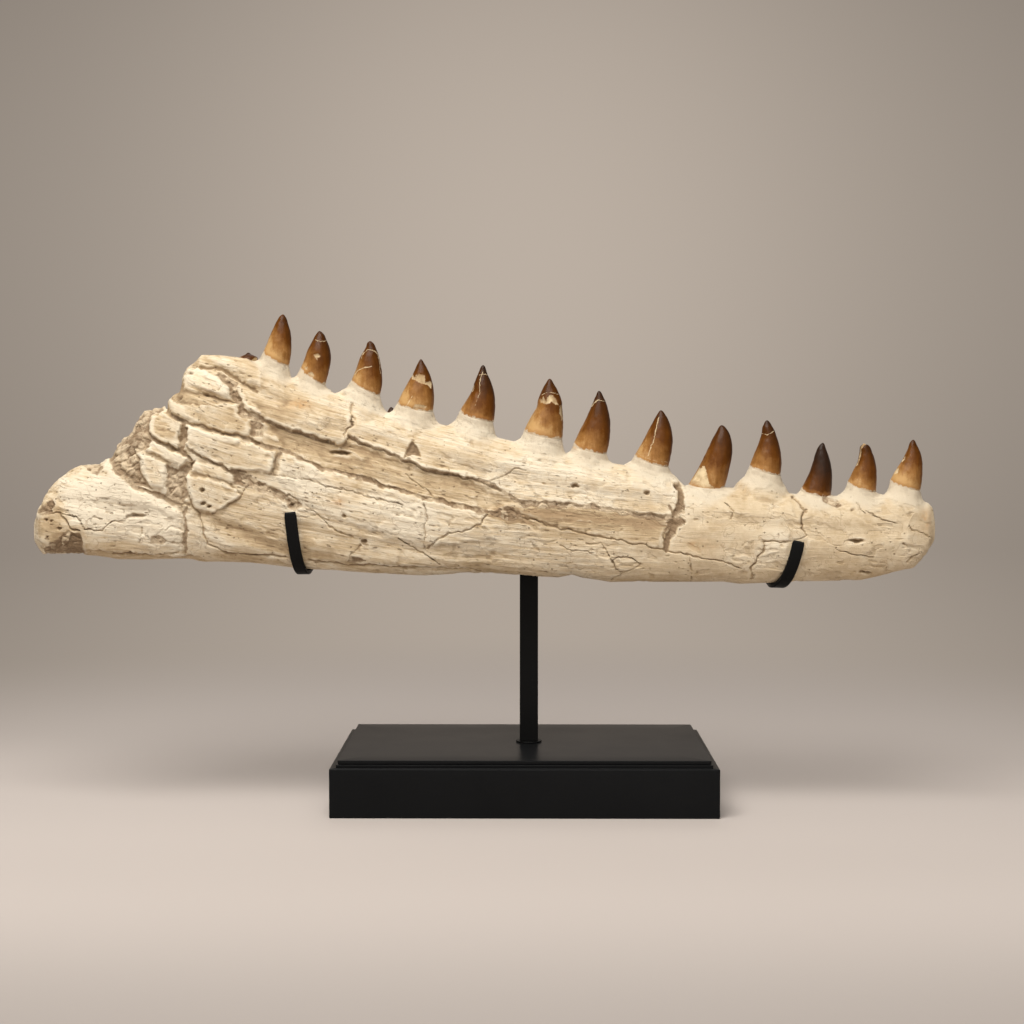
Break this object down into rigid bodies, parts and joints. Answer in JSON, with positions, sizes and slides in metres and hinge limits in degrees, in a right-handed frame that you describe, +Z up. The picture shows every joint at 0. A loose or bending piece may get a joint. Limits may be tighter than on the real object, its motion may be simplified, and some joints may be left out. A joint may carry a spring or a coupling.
{
  "type": "fossil mosasaur jaw on stand",
  "caption": "Fossil lower jaw bone with pointed brown tooth crowns, cradled by two flat black straps on a square post over a rectangular stepped base.",
  "frame": {"origin": "middle of the base's underside, on the surface that the stand rests on", "axes": "+X along the jaw towards its front end, -Y towards the viewer, +Z up"},
  "size_m": [0.609, 0.152, 0.3327],
  "materials": {
    "base_black": "satin",
    "stand_black": "satin",
    "fossil_bone": "matte",
    "tooth_enamel": "gloss"
  },
  "bodies": {
    "root": {"base_block": "base_black", "base_plate": "base_black", "post_foot": "stand_black", "post": "stand_black", "back_bar": "stand_black", "claw_left": "stand_black", "claw_right": "stand_black", "jaw_bone": "fossil_bone", "tooth_01": "tooth_enamel", "tooth_02": "tooth_enamel", "tooth_03": "tooth_enamel", "tooth_04": "tooth_enamel", "tooth_05": "tooth_enamel", "tooth_06": "tooth_enamel", "tooth_07": "tooth_enamel", "tooth_08": "tooth_enamel", "tooth_09": "tooth_enamel", "tooth_10": "tooth_enamel", "tooth_11": "tooth_enamel", "tooth_12": "tooth_enamel", "tooth_13": "tooth_enamel", "tooth_stub": "tooth_enamel"}
  },
  "joints": []
}
